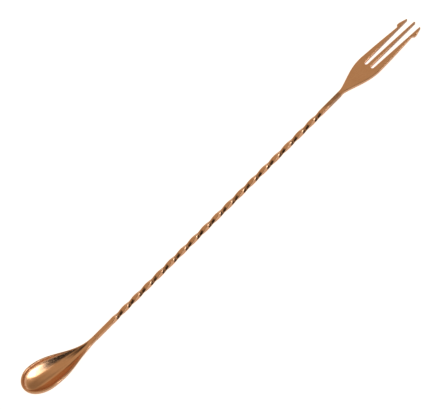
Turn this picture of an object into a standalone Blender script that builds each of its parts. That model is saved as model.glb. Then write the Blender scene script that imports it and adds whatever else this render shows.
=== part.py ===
"""A bar spoon: teardrop bowl, twisted square shank and a three-tined fork at the far end.

+X runs along the shank towards the fork and +Z is up.  The spoon lies on a table on the
first turn of its twist and the tips of its tines, with its bowl just off the table; the
origin is on the table, under the middle of its length.  Each piece is measured from the
tip of the bowl and from the middle of the bar, and the whole spoon is then tilted a little
to lie flat.  All sizes are in metres.
"""
from math import atan2, cos, pi, radians, sin, sqrt

import bmesh
import bpy
from mathutils import Matrix, Vector

# ---- driving sizes -------------------------------------------------------------------
BAR_SIDE = 0.0029            # square bar of the shank, across the flats
BAR_CORNER = 0.00025         # rounding of the bar's four corners

BOWL_LENGTH = 0.0690         # tip of the bowl to the end of its neck
BOWL_WIDTH = 0.0224          # widest, outside the rim
BOWL_NOSE = 0.0165           # tip to the widest place
BOWL_DEPTH = 0.0082          # deepest, from the rim straight down to the inside
BOWL_DEEPEST = 0.0200        # tip to the deepest place
BOWL_WALL = 0.0011           # thickness of the pressed wall
RIM_WIDTH = 0.0010           # flat top of the rim
RIM_RISE = 0.0162            # tip of the rim above the top face of the shank
RIM_LEVEL = 0.0050           # end of the neck back to the place where the rim starts to climb
HOLLOW_END = 0.0040          # end of the neck back to the place where the hollow runs out
WALL_THICKENS = 0.0270       # end of the neck back to the place where the wall thickens

SHANK_PLAIN_BOWL = 0.0137    # straight bar between the bowl's weld and the twist
SHANK_TWISTED = 0.2155       # length of the twist
SHANK_PLAIN_FORK = 0.0196    # straight bar between the twist and the fork's weld
QUARTER_TURNS = 18           # quarter turns in the twist, left-handed
TWIST_OPENING = 1.10         # pitch at the fork end over pitch at the bowl end

FORK_LENGTH = 0.0782         # neck to the tip of the middle tine
FORK_PLATE = 0.0023          # thickness of the plate
FORK_DROOP = radians(3.0)    # the fork leans down from the line of the bar
FORK_WIDTH = 0.0162          # widest, across the outer tines
FORK_WIDEST = 0.0300         # neck to the widest place
FORK_EDGE = 0.0003           # rounding of the plate's edges
SLOT_ROOT = 0.0283           # neck to the closed end of the slots
SLOT_ROOT_WIDTH = 0.0023     # slot at its closed end
SLOT_TIP_WIDTH = 0.0046      # slot at the tips
MIDDLE_ROOT_WIDTH = 0.0028   # middle tine at the closed end of the slots
MIDDLE_TIP_WIDTH = 0.0011    # middle tine at its blunt tip
OUTER_SHORTER = 0.0014       # outer tines end this much before the middle one
BARB_LENGTH = 0.0092         # barb, from its notch to the tine's tip
BARB_TINE_WIDTH = 0.0012     # outer tine just behind its barb
BARB_HEIGHT = 0.0014         # step of the barb
BARB_STEP = 0.0012           # length over which the barb steps out

WELD_LENGTH = 0.0014         # filler metal between two pieces, ground flush
JOINT_GAP = 0.0003           # clearance between neighbouring solids

# ---- how finely the curved shapes are divided ----------------------------------------
RIM_STATIONS = 4
NOSE_STATIONS = 14
REAR_STATIONS = 26
SECTION_HALF_POINTS = 15
STEPS_PER_QUARTER = 6
CORNER_POINTS = 3
SHOULDER_POINTS = 12

# ---- what follows from the sizes -----------------------------------------------------
BAR_HALF = BAR_SIDE / 2
BOWL_HALF = BOWL_WIDTH / 2
RIM_RUN = BOWL_LENGTH - RIM_LEVEL
HOLLOW_LENGTH = BOWL_LENGTH - HOLLOW_END
SHANK_LENGTH = SHANK_PLAIN_BOWL + SHANK_TWISTED + SHANK_PLAIN_FORK
JOINT_LENGTH = WELD_LENGTH + 2 * JOINT_GAP

# colour, metallic and roughness of the plated finish on each piece
COPPER = (0.60, 0.27, 0.12, 1.0)
WELD_COPPER = (0.52, 0.23, 0.11, 1.0)


def fade(share):
    """Half a cosine wave: 1 at share 0, 0 at share 1, level at both ends."""
    return (1 + cos(pi * min(max(share, 0.0), 1.0))) / 2


def nose(x, length):
    """Quarter ellipse: 0 at x = 0, 1 at x = length."""
    return sqrt(max(0.0, 1 - ((length - x) / length) ** 2))


# ---- the bowl, measured from its tip -------------------------------------------------
def bowl_half_width(x):
    if x < BOWL_NOSE:
        return BOWL_HALF * nose(x, BOWL_NOSE)
    share = (x - BOWL_NOSE) / (BOWL_LENGTH - BOWL_NOSE)
    return BAR_HALF + (BOWL_HALF - BAR_HALF) * fade(share ** 1.09)


def hollow_half_width(x):
    if x <= RIM_WIDTH:
        return 0.0
    if x < BOWL_NOSE:
        return (BOWL_HALF - RIM_WIDTH) * nose(x - RIM_WIDTH, BOWL_NOSE - RIM_WIDTH)
    return bowl_half_width(x) - min(RIM_WIDTH, 0.6 * bowl_half_width(x))


def hollow_depth(x):
    if x <= RIM_WIDTH:
        return 0.0
    if x < BOWL_DEEPEST:
        return BOWL_DEPTH * nose(x - RIM_WIDTH, BOWL_DEEPEST - RIM_WIDTH)
    share = (x - BOWL_DEEPEST) / (HOLLOW_LENGTH - BOWL_DEEPEST)
    return BOWL_DEPTH * fade(min(share, 1.0) ** 1.05)


def wall_thickness(x):
    share = (BOWL_LENGTH - x) / WALL_THICKENS
    return BOWL_WALL + (BAR_SIDE - BOWL_WALL) * fade(share)


def outer_depth(x):
    if x < BOWL_DEEPEST:
        return (BOWL_DEPTH + BOWL_WALL) * nose(x, BOWL_DEEPEST)
    return hollow_depth(x) + wall_thickness(x)


def rim_height(x):
    """Height of the rim above the middle of the bar."""
    return BAR_HALF + RIM_RISE * fade((x / RIM_RUN) ** 1.215)


def spread(start, end, steps, crowded=False):
    """Distances after start, up to and with end; crowded ones lie closer at the start."""
    shares = [i / steps for i in range(1, steps + 1)]
    if crowded:
        shares = [1 - cos(pi / 2 * share) for share in shares]
    return [start + (end - start) * share for share in shares]


def bowl_stations():
    """Distances from the tip, close together where the nose and the hollow round off."""
    return (spread(0, RIM_WIDTH, RIM_STATIONS, crowded=True)
            + spread(RIM_WIDTH, BOWL_NOSE, NOSE_STATIONS, crowded=True)
            + spread(BOWL_NOSE, BOWL_LENGTH, REAR_STATIONS))


def bowl_section(x):
    """Closed outline across the bowl, seen along +X: over the hollow, then underneath."""
    half = bowl_half_width(x)
    rim = rim_height(x)
    squareness = 2.1 + 7.0 * fade((BOWL_LENGTH - x) / WALL_THICKENS) ** 2
    points = [Vector((x, -half, rim))]
    inner_half = max(hollow_half_width(x), 0.08 * half)
    for i in range(SECTION_HALF_POINTS + 1):
        turn = pi * i / SECTION_HALF_POINTS
        y = -inner_half * cos(turn)
        points.append(Vector((x, y, rim - hollow_depth(x) * sin(turn) ** 1.6)))
    points.append(Vector((x, half, rim)))
    for i in range(1, SECTION_HALF_POINTS + 1):
        turn = pi * i / (SECTION_HALF_POINTS + 1)
        side = cos(turn)
        y = half * abs(side) ** (2 / squareness) * (1 if side > 0 else -1)
        points.append(Vector((x, y, rim - outer_depth(x) * sin(turn) ** (2 / squareness))))
    return points


# ---- where each piece starts, measured along the bar from the tip of the bowl ---------
BOWL_WELD_X = BOWL_LENGTH
SHANK_X = BOWL_WELD_X + JOINT_LENGTH
FORK_WELD_X = SHANK_X + SHANK_LENGTH
FORK_X = FORK_WELD_X + JOINT_LENGTH


def fork_tip(below_face):
    """Tip of the middle tine, at a depth below the fork's upper face, as (x, z)."""
    return (FORK_X + FORK_LENGTH * cos(FORK_DROOP) - below_face * sin(FORK_DROOP),
            BAR_HALF - FORK_LENGTH * sin(FORK_DROOP) - below_face * cos(FORK_DROOP))


def tilted(point, tilt):
    """A point (x, z) after the spoon is turned by tilt about the Y axis."""
    x, z = point
    return x * cos(tilt) + z * sin(tilt), z * cos(tilt) - x * sin(tilt)


def lying_tilt():
    """Tilt that brings the bottom of the bowl, or of the twist, level with the fork's tip."""
    underneath = [(x, rim_height(x) - outer_depth(x)) for x in bowl_stations()]
    underneath.append((SHANK_X + SHANK_PLAIN_BOWL, -BAR_HALF * sqrt(2)))
    tip_x, tip_z = fork_tip(FORK_PLATE)
    tilt = 0.0
    for _ in range(4):
        low_x, low_z = min(underneath, key=lambda point: tilted(point, tilt)[1])
        tilt = atan2(tip_z - low_z, tip_x - low_x)
    return tilt


def lying_place():
    """Tilt of the spoon, and the place of its bowl's tip, as it lies on the table."""
    tilt = lying_tilt()
    bowl_end = tilted((0, rim_height(0)), tilt)[0]
    fork_end = max(tilted(fork_tip(depth), tilt)[0] for depth in (0, FORK_PLATE))
    table = tilted(fork_tip(FORK_PLATE), tilt)[1]
    return tilt, (-(bowl_end + fork_end) / 2, 0, -table)


# ---- making objects ------------------------------------------------------------------
def new_material(name, colour, roughness):
    material = bpy.data.materials.new(name)
    material.use_nodes = True
    shader = material.node_tree.nodes["Principled BSDF"]
    shader.inputs["Base Color"].default_value = colour
    shader.inputs["Metallic"].default_value = 1.0
    shader.inputs["Roughness"].default_value = roughness
    return material


def finish(mesh, name, location, parent, material, collection):
    """Make a named object of a mesh, shaded smooth, at its place under the parent."""
    mesh.shade_smooth()
    mesh.set_sharp_from_angle(angle=radians(35))
    mesh.materials.append(material)
    piece = bpy.data.objects.new(name, mesh)
    collection.objects.link(piece)
    piece.parent = parent
    piece.location = location
    return piece


def loft(name, sections, start_point=None):
    """Skin a row of outlines that have the same number of points, and close its ends."""
    bm = bmesh.new()
    rings = [[bm.verts.new(point) for point in section] for section in sections]
    count = len(rings[0])
    for ring, following in zip(rings, rings[1:]):
        for i in range(count):
            after = (i + 1) % count
            bm.faces.new((ring[i], ring[after], following[after], following[i]))
    if start_point is None:
        bm.faces.new(rings[0])
    else:
        tip = bm.verts.new(start_point)
        for i in range(count):
            bm.faces.new((rings[0][(i + 1) % count], rings[0][i], tip))
    bm.faces.new(list(reversed(rings[-1])))
    bmesh.ops.recalc_face_normals(bm, faces=bm.faces)
    mesh = bpy.data.meshes.new(name)
    bm.to_mesh(mesh)
    bm.free()
    return mesh


def rounded_square(side, corner):
    """Outline of the bar as (y, z) pairs, with its corners rounded."""
    points = []
    centre = side / 2 - corner
    for quarter, (sign_y, sign_z) in enumerate(((1, 1), (-1, 1), (-1, -1), (1, -1))):
        for i in range(CORNER_POINTS):
            angle = pi / 2 * (quarter + i / (CORNER_POINTS - 1))
            points.append((sign_y * centre + corner * cos(angle),
                           sign_z * centre + corner * sin(angle)))
    return points


def turned(outline, x, angle):
    """The outline at x along the bar, turned about the bar's axis."""
    turn = Matrix.Rotation(angle, 3, "X")
    return [turn @ Vector((0, y, z)) + Vector((x, 0, 0)) for y, z in outline]


# ---- the pieces ----------------------------------------------------------------------
def make_bowl(parent, material, collection):
    sections = [bowl_section(x) for x in bowl_stations()]
    mesh = loft("spoon_bowl", sections, start_point=Vector((0, 0, rim_height(0))))
    return finish(mesh, "spoon_bowl", (0, 0, 0), parent, material, collection)


def twist_angle(share):
    """Angle turned at a share of the twist; its pitch opens up evenly towards the fork."""
    first = 2 * TWIST_OPENING / (TWIST_OPENING + 1)
    last = 2 / (TWIST_OPENING + 1)
    return -QUARTER_TURNS * pi / 2 * (first * share + (last - first) * share ** 2 / 2)


def make_shank(parent, material, collection):
    outline = rounded_square(BAR_SIDE, BAR_CORNER)
    steps = QUARTER_TURNS * STEPS_PER_QUARTER
    sections = [turned(outline, 0, 0)]
    for i in range(steps + 1):
        x = SHANK_PLAIN_BOWL + SHANK_TWISTED * i / steps
        sections.append(turned(outline, x, twist_angle(i / steps)))
    sections.append(turned(outline, SHANK_LENGTH, twist_angle(1)))
    mesh = loft("twisted_shank", sections)
    return finish(mesh, "twisted_shank", (SHANK_X, 0, 0), parent, material, collection)


def make_weld(name, x, parent, material, collection):
    outline = rounded_square(BAR_SIDE, BAR_CORNER)
    mesh = loft(name, [turned(outline, JOINT_GAP, 0),
                       turned(outline, JOINT_GAP + WELD_LENGTH, 0)])
    return finish(mesh, name, (x, 0, 0), parent, material, collection)


def shoulder_half_width(x):
    """Outer edge of the fork: swelling from the neck, then tapering to the barbs."""
    barb_start = FORK_LENGTH - OUTER_SHORTER - BARB_LENGTH
    barb_y = outer_tine_inner_edge(barb_start) + BARB_TINE_WIDTH
    if x < FORK_WIDEST:
        return BAR_HALF + (FORK_WIDTH / 2 - BAR_HALF) * (1 - fade(x / FORK_WIDEST)) ** 0.65
    share = (x - FORK_WIDEST) / (barb_start - FORK_WIDEST)
    return FORK_WIDTH / 2 + (barb_y - FORK_WIDTH / 2) * share ** 1.3


def middle_tine_half_width(x):
    share = (x - SLOT_ROOT) / (FORK_LENGTH - SLOT_ROOT)
    return (MIDDLE_ROOT_WIDTH + (MIDDLE_TIP_WIDTH - MIDDLE_ROOT_WIDTH) * share) / 2


def outer_tine_inner_edge(x):
    share = (x - SLOT_ROOT) / (FORK_LENGTH - SLOT_ROOT)
    slot = SLOT_ROOT_WIDTH + (SLOT_TIP_WIDTH - SLOT_ROOT_WIDTH) * share
    return middle_tine_half_width(x) + slot


def fork_half_outline():
    """One side of the fork as (x, y), from the neck round the outer tine to the middle."""
    tine_tip = FORK_LENGTH - OUTER_SHORTER
    barb_start = tine_tip - BARB_LENGTH
    points = [(0, BAR_HALF)]
    for i in range(1, SHOULDER_POINTS + 1):
        x = FORK_WIDEST * i / SHOULDER_POINTS
        points.append((x, shoulder_half_width(x)))
    for i in range(1, SHOULDER_POINTS // 2 + 1):
        x = FORK_WIDEST + (barb_start - FORK_WIDEST) * i / (SHOULDER_POINTS // 2)
        points.append((x, shoulder_half_width(x)))
    barb_y = points[-1][1] + BARB_HEIGHT
    points.append((barb_start + BARB_STEP, barb_y))
    points.append((barb_start + 0.35 * BARB_LENGTH, barb_y))
    tip_edge = outer_tine_inner_edge(tine_tip)
    points.append((tine_tip, tip_edge + 0.6 * BARB_TINE_WIDTH))
    points.append((tine_tip, tip_edge))
    slot_inner = middle_tine_half_width(SLOT_ROOT)
    slot_outer = outer_tine_inner_edge(SLOT_ROOT)
    rounding = (slot_outer - slot_inner) / 2
    points.append((SLOT_ROOT + rounding, outer_tine_inner_edge(SLOT_ROOT + rounding)))
    for i in range(1, 6):
        angle = pi / 2 - pi * i / 6
        points.append((SLOT_ROOT + rounding * (1 - cos(angle)),
                       (slot_inner + slot_outer) / 2 + rounding * sin(angle)))
    points.append((SLOT_ROOT + rounding, middle_tine_half_width(SLOT_ROOT + rounding)))
    points.append((FORK_LENGTH, MIDDLE_TIP_WIDTH / 2))
    return points


def make_fork(parent, material, collection):
    half = fork_half_outline()
    outline = half + [(x, -y) for x, y in reversed(half)]
    curve = bpy.data.curves.new("trident_outline", "CURVE")
    curve.dimensions = "2D"
    curve.fill_mode = "BOTH"
    curve.extrude = FORK_PLATE / 2
    spline = curve.splines.new("POLY")
    spline.points.add(len(outline) - 1)
    for point, (x, y) in zip(spline.points, outline):
        point.co = (x, y, 0, 1)
    spline.use_cyclic_u = True
    drawing = bpy.data.objects.new("trident_outline", curve)
    collection.objects.link(drawing)
    graph = bpy.context.evaluated_depsgraph_get()
    mesh = bpy.data.meshes.new_from_object(drawing.evaluated_get(graph))
    bpy.data.objects.remove(drawing)
    mesh.name = "trident_fork"
    bm = bmesh.new()
    bm.from_mesh(mesh)
    bmesh.ops.remove_doubles(bm, verts=bm.verts, dist=1e-6)
    bmesh.ops.translate(bm, verts=bm.verts, vec=(0, 0, -FORK_PLATE / 2))
    bmesh.ops.dissolve_limit(bm, angle_limit=radians(0.5), verts=bm.verts, edges=bm.edges)
    bmesh.ops.recalc_face_normals(bm, faces=bm.faces)
    bm.to_mesh(mesh)
    bm.free()
    piece = finish(mesh, "trident_fork", (FORK_X, 0, BAR_HALF), parent, material,
                   collection)
    piece.rotation_euler = (0, FORK_DROOP, 0)
    edges = piece.modifiers.new("rounded_edges", "BEVEL")
    edges.width = FORK_EDGE
    edges.segments = 2
    edges.limit_method = "ANGLE"
    edges.angle_limit = radians(60)
    return piece


def main():
    for leftover in list(bpy.data.objects):
        bpy.data.objects.remove(leftover)
    collection = bpy.data.collections.new("bar_spoon")
    bpy.context.scene.collection.children.link(collection)
    root = bpy.data.objects.new("bar_spoon_origin", None)
    collection.objects.link(root)
    tilt, root.location = lying_place()
    root.rotation_euler = (0, tilt, 0)
    bowl_copper = new_material("bowl_copper", COPPER, 0.12)
    shank_copper = new_material("shank_copper", COPPER, 0.16)
    fork_copper = new_material("fork_copper", COPPER, 0.20)
    weld_copper = new_material("weld_copper", WELD_COPPER, 0.35)
    make_bowl(root, bowl_copper, collection)
    make_weld("bowl_weld", BOWL_WELD_X, root, weld_copper, collection)
    make_shank(root, shank_copper, collection)
    make_weld("fork_weld", FORK_WELD_X, root, weld_copper, collection)
    make_fork(root, fork_copper, collection)


main()
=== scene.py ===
from math import cos, pi, radians, sin, sqrt

import bmesh
import bpy
from mathutils import Matrix, Vector, noise


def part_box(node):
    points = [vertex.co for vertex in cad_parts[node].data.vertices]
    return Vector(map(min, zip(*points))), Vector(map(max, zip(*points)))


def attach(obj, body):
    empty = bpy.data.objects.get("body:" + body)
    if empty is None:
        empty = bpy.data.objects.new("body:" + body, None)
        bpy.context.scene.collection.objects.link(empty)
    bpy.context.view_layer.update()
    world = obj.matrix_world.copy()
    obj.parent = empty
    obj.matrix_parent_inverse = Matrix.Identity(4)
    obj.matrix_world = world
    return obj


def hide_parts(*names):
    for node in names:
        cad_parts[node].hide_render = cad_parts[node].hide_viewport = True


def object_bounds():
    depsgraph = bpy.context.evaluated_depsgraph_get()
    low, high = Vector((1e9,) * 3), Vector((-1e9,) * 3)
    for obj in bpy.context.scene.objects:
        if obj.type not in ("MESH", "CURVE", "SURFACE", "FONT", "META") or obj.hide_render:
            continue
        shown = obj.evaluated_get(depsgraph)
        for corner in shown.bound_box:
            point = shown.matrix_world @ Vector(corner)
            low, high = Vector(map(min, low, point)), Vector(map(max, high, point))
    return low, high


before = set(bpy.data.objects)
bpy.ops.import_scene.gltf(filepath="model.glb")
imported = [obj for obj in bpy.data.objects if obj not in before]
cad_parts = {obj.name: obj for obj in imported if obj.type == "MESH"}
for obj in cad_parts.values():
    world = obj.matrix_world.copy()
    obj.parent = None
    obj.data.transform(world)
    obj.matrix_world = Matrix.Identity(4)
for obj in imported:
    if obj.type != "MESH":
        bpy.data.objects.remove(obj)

# Looks of a bar spoon: a teardrop bowl, a twisted square bar and a flat trident fork, all
# plated with polished copper. Lengths are in metres. The pieces are drawn in the bar's own
# frame: x along the bar from the tip of the bowl, z up from the middle of the bar.
CAD_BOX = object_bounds()

# bar
BAR_SIDE = 0.0029
BAR_HALF = BAR_SIDE / 2
BAR_CORNER = 0.00025
SHANK_PLAIN_BOWL = 0.0137
SHANK_TWISTED = 0.2155
QUARTER_TURNS = 18
TWIST_OPENING = 1.10

# bowl
BOWL_LENGTH = 0.0690
BOWL_HALF = 0.0112
BOWL_NOSE = 0.0165
BOWL_DEPTH = 0.0082
BOWL_DEEPEST = 0.0200
BOWL_WALL = 0.0011
RIM_WIDTH = 0.0010
RIM_RISE = 0.0162
RIM_RUN = 0.0640
HOLLOW_LENGTH = 0.0650
WALL_THICKENS = 0.0420
RIM_ROUNDING = 0.00028
SPINE_START = 0.0090
SPINE_MEETS = 0.0300
NECK_TAPER = 1.09
HOLLOW_TAPER = 1.05
RIM_CURVE = 1.215
HOLLOW_ROUNDNESS = 0.8
BACK_SQUARENESS = 2.1
NECK_SQUARENESS = 7.0
NARROW_RIM_SHARE = 0.6
SHALLOW_ROUNDING_SHARE = 0.3

# fork
FORK_LENGTH = 0.0782
FORK_PLATE = 0.0023
FORK_DROOP = radians(3.0)
FORK_HALF = 0.0081
FORK_WIDEST = 0.0300
FORK_ROUNDING = 0.00030
FORK_FLAT_RING = 0.00008
SLOT_ROOT = 0.0283
SLOT_ROOT_WIDTH = 0.0023
SLOT_TIP_WIDTH = 0.0046
MIDDLE_ROOT_WIDTH = 0.0028
MIDDLE_TIP_WIDTH = 0.0011
OUTER_SHORTER = 0.0014
BARB_LENGTH = 0.0092
BARB_TINE_WIDTH = 0.0012
BARB_HEIGHT = 0.0014
BARB_STEP = 0.0012
BARB_FLAT_SHARE = 0.35
BARB_POINT_SHARE = 0.6
SHOULDER_SWELL = 0.65
TINE_TAPER = 1.3

# welds
JOINT_LENGTH = 0.0020
RIPPLE_FINENESS = 900
RIPPLE_HEIGHT = 0.00006

# fineness
NOSE_STEPS = 44
REAR_STEPS = 90
RIM_STEPS = 12
HOLLOW_STEPS = 36
UNDER_STEPS = 36
STEPS_PER_QUARTER = 24
CORNER_STEPS = 6
SIDE_STEPS = 4
SHOULDER_STEPS = 48
SLOT_STEPS = 14
EDGE_STEPS = 5
WELD_STEPS = 12


# ---- the bar's line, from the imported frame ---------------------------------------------
def middle(node):
    low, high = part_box(node)
    return (low + high) / 2


BOWL_JOINT = middle("bowl_weld")
FORK_JOINT = middle("fork_weld")
BAR_LINE = (FORK_JOINT - BOWL_JOINT).normalized()
BAR_ACROSS = Vector((0, 1, 0))
SHANK_X = BOWL_LENGTH + JOINT_LENGTH
SHANK_LENGTH = (FORK_JOINT - BOWL_JOINT).length - JOINT_LENGTH
FORK_WELD_X = SHANK_X + SHANK_LENGTH
FORK_X = FORK_WELD_X + JOINT_LENGTH
BAR_FRAME = Matrix((BAR_LINE, BAR_ACROSS, BAR_LINE.cross(BAR_ACROSS))).transposed().to_4x4()
BAR_FRAME.translation = BOWL_JOINT - BAR_LINE * (BOWL_LENGTH + JOINT_LENGTH / 2)
FORK_FRAME = Matrix.Translation((FORK_X, 0, BAR_HALF)) @ Matrix.Rotation(FORK_DROOP, 4, "Y")


# ---- shape of the bowl -----------------------------------------------------------------
def clamped(value, low=0.0, high=1.0):
    return min(max(value, low), high)


def fade(share):
    """Half a cosine wave: 1 at share 0, 0 at share 1, level at both ends."""
    return (1 + cos(pi * clamped(share))) / 2


def nose(x, length):
    """Quarter ellipse: 0 at x = 0, 1 at x = length."""
    return sqrt(max(0.0, 1 - ((length - x) / length) ** 2))


def bowl_half_width(x):
    if x < BOWL_NOSE:
        return BOWL_HALF * nose(x, BOWL_NOSE)
    share = (x - BOWL_NOSE) / (BOWL_LENGTH - BOWL_NOSE)
    return BAR_HALF + (BOWL_HALF - BAR_HALF) * fade(share ** NECK_TAPER)


def hollow_half_width(x):
    if x <= RIM_WIDTH:
        return 0.0
    if x < BOWL_NOSE:
        return (BOWL_HALF - RIM_WIDTH) * nose(x - RIM_WIDTH, BOWL_NOSE - RIM_WIDTH)
    half = bowl_half_width(x)
    return half - min(RIM_WIDTH, NARROW_RIM_SHARE * half)


def hollow_depth(x):
    if x <= RIM_WIDTH:
        return 0.0
    if x < BOWL_DEEPEST:
        return BOWL_DEPTH * nose(x - RIM_WIDTH, BOWL_DEEPEST - RIM_WIDTH)
    share = (x - BOWL_DEEPEST) / (HOLLOW_LENGTH - BOWL_DEEPEST)
    return BOWL_DEPTH * fade(min(share, 1) ** HOLLOW_TAPER)


def neck_share(x):
    """0 in the bowl, 1 where it has become the bar."""
    return fade((BOWL_LENGTH - x) / (BOWL_LENGTH - WALL_THICKENS))


def outer_depth(x):
    if x < BOWL_DEEPEST:
        return (BOWL_DEPTH + BOWL_WALL) * nose(x, BOWL_DEEPEST)
    return hollow_depth(x) + BOWL_WALL + (BAR_SIDE - BOWL_WALL) * neck_share(x)


def rim_height(x):
    return BAR_HALF + RIM_RISE * fade((max(x, 0.0) / RIM_RUN) ** RIM_CURVE)


def inside_depth(x, y):
    """Depth of the hollow below the rim."""
    inner = hollow_half_width(x)
    if inner <= abs(y):
        return 0.0
    return hollow_depth(x) * (1 - (y / inner) ** 2) ** HOLLOW_ROUNDNESS


def underside_depth(x, y):
    """Depth of the bowl's back below the rim; its section squares up towards the bar."""
    half = bowl_half_width(x)
    if half <= abs(y):
        return 0.0
    squareness = BACK_SQUARENESS + NECK_SQUARENESS * neck_share(x) ** 2
    return outer_depth(x) * (1 - (abs(y) / half) ** squareness) ** (1 / squareness)


def rounding_drop(share, corner):
    """Fall of a rounded edge, from 1 at its very edge to 0 at a corner's width inside."""
    if share >= corner:
        return 0.0
    return 1 - sqrt(1 - (1 - share / corner) ** 2)


def bowl_edge():
    """Points along one side of the bowl's outline, from the tip to the weld."""
    xs = [BOWL_NOSE * (1 - cos(pi / 2 * i / NOSE_STEPS)) for i in range(NOSE_STEPS)]
    run = BOWL_LENGTH - BOWL_NOSE
    xs += [BOWL_NOSE + run * i / REAR_STEPS for i in range(REAR_STEPS + 1)]
    return [Vector((x, bowl_half_width(x))) for x in xs]


def spine(x):
    """The place on the bowl's middle line that a point of the edge at x runs towards."""
    return x + SPINE_START * max(0.0, 1 - x / SPINE_MEETS) ** 2


def hollow_edge_share(edge, foot):
    """Share of the way from the edge to the middle line at which the hollow begins."""
    low, high = 0.0, 1.0
    for _ in range(40):
        share = (low + high) / 2
        point = edge.lerp(foot, share)
        if hollow_half_width(point.x) > abs(point.y):
            high = share
        else:
            low = share
    return high


def upper_row(edge, foot):
    """Rim and hollow from the edge to the middle line."""
    inner = hollow_edge_share(edge, foot)
    corner = RIM_ROUNDING / RIM_WIDTH
    points = []
    for i in range(RIM_STEPS + 1):
        across = (1 - cos(pi * i / RIM_STEPS)) / 2
        point = edge.lerp(foot, inner * across)
        rounding_in = min(RIM_ROUNDING, SHALLOW_ROUNDING_SHARE * hollow_depth(point.x))
        drop = RIM_ROUNDING * rounding_drop(across, corner)
        drop += rounding_in * rounding_drop(1 - across, corner)
        points.append(Vector((point.x, point.y, rim_height(point.x) - drop)))
    for i in range(1, HOLLOW_STEPS + 1):
        share = inner + (1 - inner) * (i / HOLLOW_STEPS) ** 2
        point = edge.lerp(foot, share)
        rounding_in = min(RIM_ROUNDING, SHALLOW_ROUNDING_SHARE * hollow_depth(point.x))
        depth = max(inside_depth(point.x, point.y), rounding_in)
        points.append(Vector((point.x, point.y, rim_height(point.x) - depth)))
    return points


def under_row(edge, foot):
    """Back of the bowl from the edge to the middle line."""
    points = []
    for i in range(1, UNDER_STEPS + 1):
        point = edge.lerp(foot, (i / UNDER_STEPS) ** 2.2)
        depth = max(underside_depth(point.x, point.y), RIM_ROUNDING)
        points.append(Vector((point.x, point.y, rim_height(point.x) - depth)))
    return points


def skin(bm, rows, closed=False):
    """Faces between rows of vertices that have the same number each."""
    count = len(rows[0])
    for row, following in zip(rows, rows[1:]):
        for i in range(count if closed else count - 1):
            after = (i + 1) % count
            bm.faces.new((row[i], row[after], following[after], following[i]))


def bowl_mesh():
    bm = bmesh.new()
    for side in (1, -1):
        upper, under = [], []
        for edge in bowl_edge():
            foot = Vector((spine(edge.x), 0))
            over = [bm.verts.new((p.x, side * p.y, p.z)) for p in upper_row(edge, foot)]
            below = [bm.verts.new((p.x, side * p.y, p.z)) for p in under_row(edge, foot)]
            upper.append(over)
            under.append([over[0]] + below)
        skin(bm, upper)
        skin(bm, under)
    bmesh.ops.remove_doubles(bm, verts=bm.verts, dist=1e-7)
    bmesh.ops.dissolve_degenerate(bm, dist=1e-8, edges=bm.edges)
    ends = [e for e in bm.edges if e.is_boundary]
    bmesh.ops.holes_fill(bm, edges=ends, sides=0)
    return bm


# ---- shape of the bar and the welds ------------------------------------------------------
def rounded_box(width, top, bottom, corner):
    """Outline across the bar as (y, z) pairs, with points along its sides."""
    corners = []
    half = width / 2 - corner
    for turn, (y, z) in enumerate(((half, top - corner), (-half, top - corner),
                                   (-half, bottom + corner), (half, bottom + corner))):
        arc = []
        for i in range(CORNER_STEPS + 1):
            angle = pi / 2 * (turn + i / CORNER_STEPS)
            arc.append(Vector((y + corner * cos(angle), z + corner * sin(angle))))
        corners.append(arc)
    points = []
    for arc, following in zip(corners, corners[1:] + corners[:1]):
        points += arc
        points += [arc[-1].lerp(following[0], i / SIDE_STEPS) for i in range(1, SIDE_STEPS)]
    return points


def twist_angle(share):
    """Angle turned at a share of the twist; its pitch opens up evenly towards the fork."""
    first = 2 * TWIST_OPENING / (TWIST_OPENING + 1)
    last = 2 / (TWIST_OPENING + 1)
    return -QUARTER_TURNS * pi / 2 * (first * share + (last - first) * share ** 2 / 2)


def shank_mesh():
    outline = rounded_box(BAR_SIDE, BAR_HALF, -BAR_HALF, BAR_CORNER)
    steps = QUARTER_TURNS * STEPS_PER_QUARTER
    places = [(0, 0)]
    for i in range(steps + 1):
        places.append((SHANK_PLAIN_BOWL + SHANK_TWISTED * i / steps, twist_angle(i / steps)))
    places.append((SHANK_LENGTH, twist_angle(1)))
    bm = bmesh.new()
    rows = []
    for x, angle in places:
        turn = Matrix.Rotation(angle, 3, "X")
        along = Vector((SHANK_X + x, 0, 0))
        rows.append([bm.verts.new(turn @ Vector((0, p.x, p.y)) + along) for p in outline])
    skin(bm, rows, closed=True)
    bm.faces.new(rows[0])
    bm.faces.new(reversed(rows[-1]))
    return bm


def weld_mesh(start_x, end_frame, end_bottom):
    """Ground weld between the bar's section and a section in the end frame."""
    start = rounded_box(BAR_SIDE, BAR_HALF, -BAR_HALF, BAR_CORNER)
    end = rounded_box(BAR_SIDE, 0, end_bottom, BAR_CORNER)
    bm = bmesh.new()
    rows = []
    for i in range(WELD_STEPS + 1):
        share = i / WELD_STEPS
        row = []
        for a, b in zip(start, end):
            here = Vector((start_x, a.x, a.y))
            there = end_frame @ Vector((0, b.x, b.y))
            point = here.lerp(there, share)
            ripple = noise.noise(point * RIPPLE_FINENESS) * RIPPLE_HEIGHT * sin(pi * share)
            across = Vector((0, point.y, point.z))
            row.append(bm.verts.new(point + across * (ripple / BAR_HALF)))
        rows.append(row)
    skin(bm, rows, closed=True)
    bm.faces.new(rows[0])
    bm.faces.new(reversed(rows[-1]))
    return bm


# ---- shape of the fork -------------------------------------------------------------------
def middle_tine_half_width(x):
    share = (x - SLOT_ROOT) / (FORK_LENGTH - SLOT_ROOT)
    return (MIDDLE_ROOT_WIDTH + (MIDDLE_TIP_WIDTH - MIDDLE_ROOT_WIDTH) * share) / 2


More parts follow.
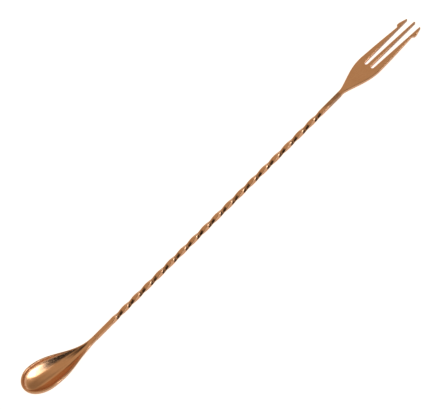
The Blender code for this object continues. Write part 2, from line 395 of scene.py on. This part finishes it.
def outer_tine_inner_edge(x):
    share = (x - SLOT_ROOT) / (FORK_LENGTH - SLOT_ROOT)
    slot = SLOT_ROOT_WIDTH + (SLOT_TIP_WIDTH - SLOT_ROOT_WIDTH) * share
    return middle_tine_half_width(x) + slot


def shoulder_half_width(x):
    """Outer edge of the fork: swelling from the neck, then tapering to the barbs."""
    barb_start = FORK_LENGTH - OUTER_SHORTER - BARB_LENGTH
    barb_y = outer_tine_inner_edge(barb_start) + BARB_TINE_WIDTH
    if x < FORK_WIDEST:
        return BAR_HALF + (FORK_HALF - BAR_HALF) * (1 - fade(x / FORK_WIDEST)) ** SHOULDER_SWELL
    share = (x - FORK_WIDEST) / (barb_start - FORK_WIDEST)
    return FORK_HALF + (barb_y - FORK_HALF) * share ** TINE_TAPER


def fork_half_outline():
    """One side of the fork as (x, y), from the neck round the outer tine to the middle."""
    tine_tip = FORK_LENGTH - OUTER_SHORTER
    barb_start = tine_tip - BARB_LENGTH
    points = [Vector((barb_start * i / SHOULDER_STEPS,
                      shoulder_half_width(barb_start * i / SHOULDER_STEPS)))
              for i in range(SHOULDER_STEPS + 1)]
    barb_y = points[-1].y + BARB_HEIGHT
    points.append(Vector((barb_start + BARB_STEP, barb_y)))
    points.append(Vector((barb_start + BARB_FLAT_SHARE * BARB_LENGTH, barb_y)))
    tip_edge = outer_tine_inner_edge(tine_tip)
    points.append(Vector((tine_tip, tip_edge + BARB_POINT_SHARE * BARB_TINE_WIDTH)))
    points.append(Vector((tine_tip, tip_edge)))
    slot_inner = middle_tine_half_width(SLOT_ROOT)
    slot_outer = outer_tine_inner_edge(SLOT_ROOT)
    rounding = (slot_outer - slot_inner) / 2
    points.append(Vector((SLOT_ROOT + rounding, outer_tine_inner_edge(SLOT_ROOT + rounding))))
    for i in range(1, SLOT_STEPS):
        angle = pi / 2 - pi * i / SLOT_STEPS
        points.append(Vector((SLOT_ROOT + rounding * (1 - cos(angle)),
                              (slot_inner + slot_outer) / 2 + rounding * sin(angle))))
    points.append(Vector((SLOT_ROOT + rounding, middle_tine_half_width(SLOT_ROOT + rounding))))
    points.append(Vector((FORK_LENGTH, MIDDLE_TIP_WIDTH / 2)))
    return points


def inset(outline, distance):
    """The outline moved inwards by a distance; it runs clockwise seen from above."""
    moved = []
    count = len(outline)
    for i, point in enumerate(outline):
        before = (point - outline[i - 1]).normalized()
        after = (outline[(i + 1) % count] - point).normalized()
        normal_before = Vector((before.y, -before.x))
        normal_after = Vector((after.y, -after.x))
        reach = distance / (1 + normal_before.dot(normal_after))
        moved.append(point + (normal_before + normal_after) * reach)
    return moved


def fork_mesh():
    half = fork_half_outline()
    outline = half + [Vector((p.x, -p.y)) for p in reversed(half)]
    rings = [(FORK_ROUNDING + FORK_FLAT_RING, 0.0)]
    for i in range(EDGE_STEPS + 1):
        angle = pi / 2 * i / EDGE_STEPS
        rings.append((FORK_ROUNDING * (1 - sin(angle)), FORK_ROUNDING * (1 - cos(angle))))
    rings += [(inward, FORK_PLATE - depth) for inward, depth in reversed(rings)]
    bm = bmesh.new()
    rows = [[bm.verts.new(FORK_FRAME @ Vector((p.x, p.y, -depth)))
             for p in inset(outline, inward)] for inward, depth in rings]
    skin(bm, rows, closed=True)
    flats = [bm.faces.new(reversed(rows[0])), bm.faces.new(rows[-1])]
    for face in bm.faces:
        face.smooth = face not in flats
    return bm


# ---- materials -----------------------------------------------------------------------------
COPPER = (0.88, 0.55, 0.35)
BROWNER = (0.93, 0.90, 0.86)
PALER = (1.05, 1.18, 1.35)
SCRATCH_DULLNESS = 0.10
SCRATCH_WIDTH = 0.006


def node(tree, kind, **settings):
    made = tree.nodes.new("ShaderNode" + kind)
    for key, value in settings.items():
        if key in made.inputs:
            made.inputs[key].default_value = value
        else:
            setattr(made, key, value)
    return made


def copper(name, grain, roughness):
    """Polished copper plate, brushed along the direction in which its grain is coarsest."""
    material = bpy.data.materials.new(name)
    material.use_nodes = True
    tree = material.node_tree
    link = tree.links.new
    shader = tree.nodes["Principled BSDF"]
    shader.inputs["Metallic"].default_value = 1.0
    place = node(tree, "TexCoord").outputs["Object"]
    # brushing: fine streaks along the piece
    stretch = node(tree, "Mapping")
    stretch.inputs["Scale"].default_value = grain
    link(place, stretch.inputs["Vector"])
    streaks = node(tree, "TexNoise", Scale=1.0, Detail=5.0, Roughness=0.65)
    link(stretch.outputs["Vector"], streaks.inputs["Vector"])
    # clouding: uneven plating and faint handling marks
    clouds = node(tree, "TexNoise", Scale=110.0, Detail=4.0, Roughness=0.6)
    link(place, clouds.inputs["Vector"])
    # waves: the faces are not perfectly flat after polishing
    waves = node(tree, "TexNoise", Scale=190.0, Detail=2.0, Roughness=0.5)
    link(place, waves.inputs["Vector"])
    # colour: a little browner in the clouds
    tone = node(tree, "MapRange")
    tone.inputs["From Min"].default_value = 0.35
    tone.inputs["From Max"].default_value = 0.70
    link(clouds.outputs["Fac"], tone.inputs["Value"])
    blend = node(tree, "Mix", data_type="RGBA")
    blend.inputs["A"].default_value = (*COPPER, 1)
    darker = [c * k for c, k in zip(COPPER, BROWNER)]
    blend.inputs["B"].default_value = (*darker, 1)
    link(tone.outputs["Result"], blend.inputs["Factor"])
    # edges: the colour is made paler along the sharpest edges, in patches where the clouds are
    sharp_edge_mask = node(tree, "MapRange")
    sharp_edge_mask.inputs["From Min"].default_value = 0.54
    sharp_edge_mask.inputs["From Max"].default_value = 0.64
    link(node(tree, "NewGeometry").outputs["Pointiness"], sharp_edge_mask.inputs["Value"])
    patchy = node(tree, "Math", operation="MULTIPLY")
    link(sharp_edge_mask.outputs["Result"], patchy.inputs[0])
    link(clouds.outputs["Fac"], patchy.inputs[1])
    # paler colour mixed in along the sharpest edges
    paler_edge_mix = node(tree, "Mix", data_type="RGBA")
    paler = [min(1.0, c * k) for c, k in zip(COPPER, PALER)]
    paler_edge_mix.inputs["B"].default_value = (*paler, 1)
    link(patchy.outputs["Value"], paler_edge_mix.inputs["Factor"])
    link(blend.outputs["Result"], paler_edge_mix.inputs["A"])
    link(paler_edge_mix.outputs["Result"], shader.inputs["Base Color"])
    # scratches: thin wandering lines, where a stretched noise passes through its middle value
    drift = node(tree, "Mapping")
    drift.inputs["Rotation"].default_value = (0.3, 0.2, 0.5)
    drift.inputs["Scale"].default_value = (70, 900, 900)
    link(place, drift.inputs["Vector"])
    lines = node(tree, "TexNoise", Scale=1.0, Detail=1.0, Roughness=0.4)
    link(drift.outputs["Vector"], lines.inputs["Vector"])
    scratch = node(tree, "Math", operation="COMPARE")
    scratch.inputs[1].default_value = 0.5
    scratch.inputs[2].default_value = SCRATCH_WIDTH
    link(lines.outputs["Fac"], scratch.inputs[0])
    # roughness: streaks, and duller scratches
    dull = node(tree, "MapRange")
    dull.inputs["To Min"].default_value = roughness * 0.75
    dull.inputs["To Max"].default_value = roughness * 1.25
    link(streaks.outputs["Fac"], dull.inputs["Value"])
    scratched = node(tree, "Math", operation="MULTIPLY_ADD")
    scratched.inputs[1].default_value = SCRATCH_DULLNESS
    link(scratch.outputs["Value"], scratched.inputs[0])
    link(dull.outputs["Result"], scratched.inputs[2])
    link(scratched.outputs["Value"], shader.inputs["Roughness"])
    # relief: scratches and brushing on top of the waves
    cuts = node(tree, "Bump", Strength=0.15, Distance=0.00001, invert=True)
    link(scratch.outputs["Value"], cuts.inputs["Height"])
    fine = node(tree, "Bump", Strength=0.25, Distance=0.00001)
    link(streaks.outputs["Fac"], fine.inputs["Height"])
    link(cuts.outputs["Normal"], fine.inputs["Normal"])
    broad = node(tree, "Bump", Strength=0.3, Distance=0.00005)
    link(waves.outputs["Fac"], broad.inputs["Height"])
    link(fine.outputs["Normal"], broad.inputs["Normal"])
    link(broad.outputs["Normal"], shader.inputs["Normal"])
    return material


# ---- the pieces ----------------------------------------------------------------------------
def add_piece(name, bm, cad_node, material):
    """A finished piece that stands for a CAD node and stays within the CAD model's box."""
    bmesh.ops.recalc_face_normals(bm, faces=bm.faces)
    bm.transform(BAR_FRAME)
    low, high = CAD_BOX
    for vertex in bm.verts:
        vertex.co = [clamped(*trio) for trio in zip(vertex.co, low, high)]
    mesh = bpy.data.meshes.new(name)
    bm.to_mesh(mesh)
    bm.free()
    mesh.materials.append(material)
    piece = bpy.data.objects.new(name, mesh)
    bpy.context.scene.collection.objects.link(piece)
    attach(piece, "root")
    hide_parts(cad_node)
    return piece


def smooth(bm):
    for face in bm.faces:
        face.smooth = True
    return bm


ALONG_GRAIN = (60, 5200, 5200)
bowl_copper = copper("bowl_copper_plate", ALONG_GRAIN, 0.16)
shank_copper = copper("shank_copper_plate", ALONG_GRAIN, 0.19)
fork_copper = copper("fork_copper_plate", ALONG_GRAIN, 0.22)
weld_copper = copper("weld_copper_plate", (2600, 300, 300), 0.26)

add_piece("bowl_of_spoon", smooth(bowl_mesh()), "spoon_bowl", bowl_copper)
add_piece("twisted_bar", smooth(shank_mesh()), "twisted_shank", shank_copper)
BOWL_END_FRAME = Matrix.Translation((BOWL_LENGTH, 0, BAR_HALF))
add_piece("weld_at_bowl", smooth(weld_mesh(SHANK_X, BOWL_END_FRAME, -BAR_SIDE)),
          "bowl_weld", weld_copper)
add_piece("weld_at_fork", smooth(weld_mesh(FORK_WELD_X, FORK_FRAME, -FORK_PLATE)),
          "fork_weld", weld_copper)
add_piece("fork_of_spoon", fork_mesh(), "trident_fork", fork_copper)


# ---- stage ---------------------------------------------------------------------------------
def plain(name, colour, roughness):
    material = bpy.data.materials.new(name)
    material.use_nodes = True
    shader = material.node_tree.nodes["Principled BSDF"]
    shader.inputs["Base Color"].default_value = (*colour, 1)
    shader.inputs["Roughness"].default_value = roughness
    shader.inputs["Emission Color"].default_value = (1, 1, 1, 1)
    return material


bpy.ops.mesh.primitive_plane_add(size=6, location=(0, 0, 0))
floor = bpy.context.object
floor.name = "floor"
PAPER_MIRRORED = 0.28
PAPER_SEEN = 0.85
paper = plain("pale_floor", (0.9, 0.9, 0.9), 0.6)
floor.data.materials.append(paper)
# the paper is bright to the eye, and dimmer where the copper mirrors it
paper_tree = paper.node_tree
paper_glow = node(paper_tree, "MapRange")
paper_glow.inputs["To Min"].default_value = PAPER_MIRRORED
paper_glow.inputs["To Max"].default_value = PAPER_SEEN
paper_tree.links.new(node(paper_tree, "LightPath").outputs["Is Camera Ray"],
                     paper_glow.inputs["Value"])
paper_tree.links.new(paper_glow.outputs["Result"],
                     paper_tree.nodes["Principled BSDF"].inputs["Emission Strength"])

# Soft studio surroundings: a warm, even tent with a few brighter and darker areas, which the
# polished copper mirrors. Turn is the compass angle from +Y towards +X, and rise is the
# angle above the floor, both in degrees.
world = bpy.data.worlds.new("studio")
bpy.context.scene.world = world
world.use_nodes = True
sky = world.node_tree
sky_link = sky.links.new


def sky_math(operation, *values):
    made = node(sky, "Math", operation=operation)
    for socket, value in zip(made.inputs, values):
        if isinstance(value, (int, float)):
            socket.default_value = value
        else:
            sky_link(value, socket)
    return made.outputs["Value"]


def ramp(value, start, end):
    """0 at start and 1 at end, easing in and out."""
    made = node(sky, "MapRange", interpolation_type="SMOOTHSTEP")
    made.inputs["From Min"].default_value = min(start, end)
    made.inputs["From Max"].default_value = max(start, end)
    made.inputs["To Min"].default_value = 0.0 if start < end else 1.0
    made.inputs["To Max"].default_value = 1.0 if start < end else 0.0
    sky_link(value, made.inputs["Value"])
    return made.outputs["Result"]


def both(first, *others):
    for other in others:
        first = sky_math("MULTIPLY", first, other)
    return first


def window(value, low, high, soft):
    return both(ramp(value, low - soft, low + soft), ramp(value, high + soft, high - soft))


direction = node(sky, "TexCoord").outputs["Generated"]
parts = node(sky, "SeparateXYZ")
sky_link(direction, parts.inputs["Vector"])
turn = sky_math("DEGREES", sky_math("ARCTAN2", parts.outputs["X"], parts.outputs["Y"]))
rise = sky_math("DEGREES", sky_math("ARCSINE", parts.outputs["Z"]))


def near(turn_at, rise_at, inner, outer):
    """1 within the inner angle of a direction and 0 beyond the outer angle."""
    a, e = radians(turn_at), radians(rise_at)
    made = node(sky, "VectorMath", operation="DOT_PRODUCT")
    sky_link(direction, made.inputs[0])
    made.inputs[1].default_value = (sin(a) * cos(e), cos(a) * cos(e), sin(e))
    return ramp(made.outputs["Value"], cos(radians(outer)), cos(radians(inner)))


def toned(level, mask, target):
    """The level, moved to the target where the mask is 1."""
    return sky_math("ADD", sky_math("MULTIPLY", level, sky_math("SUBTRACT", 1.0, mask)),
                    sky_math("MULTIPLY", mask, target))


TENT = 0.50
TENT_TINT = (1.0, 0.73, 0.47, 1)
GREY_WALL = 0.29
DARK_CORNER = 0.02
DARK_BAND = 0.01
SOFTBOX = 4.5
# a greyer wall beyond the fork's end
level = toned(TENT, both(window(turn, 58, 108, 8), window(rise, 8, 36, 6)), GREY_WALL)
# a dark corner beside the softbox, and a dark band above it that dips to the right
level = toned(level, near(152, 8, 14, 34), DARK_CORNER)
band_rise = sky_math("ADD", rise, sky_math("MULTIPLY", ramp(turn, 112, 135), 14.0))
level = toned(level, both(window(turn, 72, 168, 10), ramp(band_rise, 51, 59),
                          ramp(rise, 82, 72)), DARK_BAND)
# the softbox, with a slanting top and a soft left side
softbox = both(ramp(turn, 119.5, 128), ramp(turn, 145.5, 142.5),
               ramp(sky_math("ADD", rise, sky_math("MULTIPLY", turn, 1.2)), 178.5, 175))
level = toned(level, softbox, SOFTBOX)
tint = node(sky, "Mix", data_type="RGBA")
tint.inputs["A"].default_value = TENT_TINT
tint.inputs["B"].default_value = (1, 1, 1, 1)
sky_link(softbox, tint.inputs["Factor"])
tent = sky.nodes["Background"]
sky_link(tint.outputs["Result"], tent.inputs["Color"])
sky_link(level, tent.inputs["Strength"])
# the backdrop itself is plain and pale
backdrop = node(sky, "Background", Color=(0.93, 0.93, 0.93, 1), Strength=1.0)
seen = node(sky, "MixShader")
sky_link(node(sky, "LightPath").outputs["Is Camera Ray"], seen.inputs[0])
sky_link(tent.outputs["Background"], seen.inputs[1])
sky_link(backdrop.outputs["Background"], seen.inputs[2])
sky_link(seen.outputs["Shader"], sky.nodes["World Output"].inputs["Surface"])

CAMERA_TURN = radians(51.431)
CAMERA_HEIGHT = radians(52.0)
CAMERA_DISTANCE = 4.7313
CAMERA_RIGHT = -0.00218
CAMERA_UP = 0.00460
CAMERA_LENS = 600
CAMERA_SENSOR = 36
back = Vector((-sin(CAMERA_TURN) * cos(CAMERA_HEIGHT), -cos(CAMERA_TURN) * cos(CAMERA_HEIGHT),
               sin(CAMERA_HEIGHT)))
right = Vector((cos(CAMERA_TURN), -sin(CAMERA_TURN), 0))
up = back.cross(right)
lens = bpy.data.cameras.new("camera")
lens.lens = CAMERA_LENS
lens.sensor_width = CAMERA_SENSOR
lens.clip_start = 0.1
lens.clip_end = 50
camera = bpy.data.objects.new("camera", lens)
bpy.context.scene.collection.objects.link(camera)
camera.matrix_world = Matrix((right, up, back)).transposed().to_4x4()
camera.location = back * CAMERA_DISTANCE + right * CAMERA_RIGHT + up * CAMERA_UP
bpy.context.scene.camera = camera
bpy.context.scene.view_settings.view_transform = "Standard"
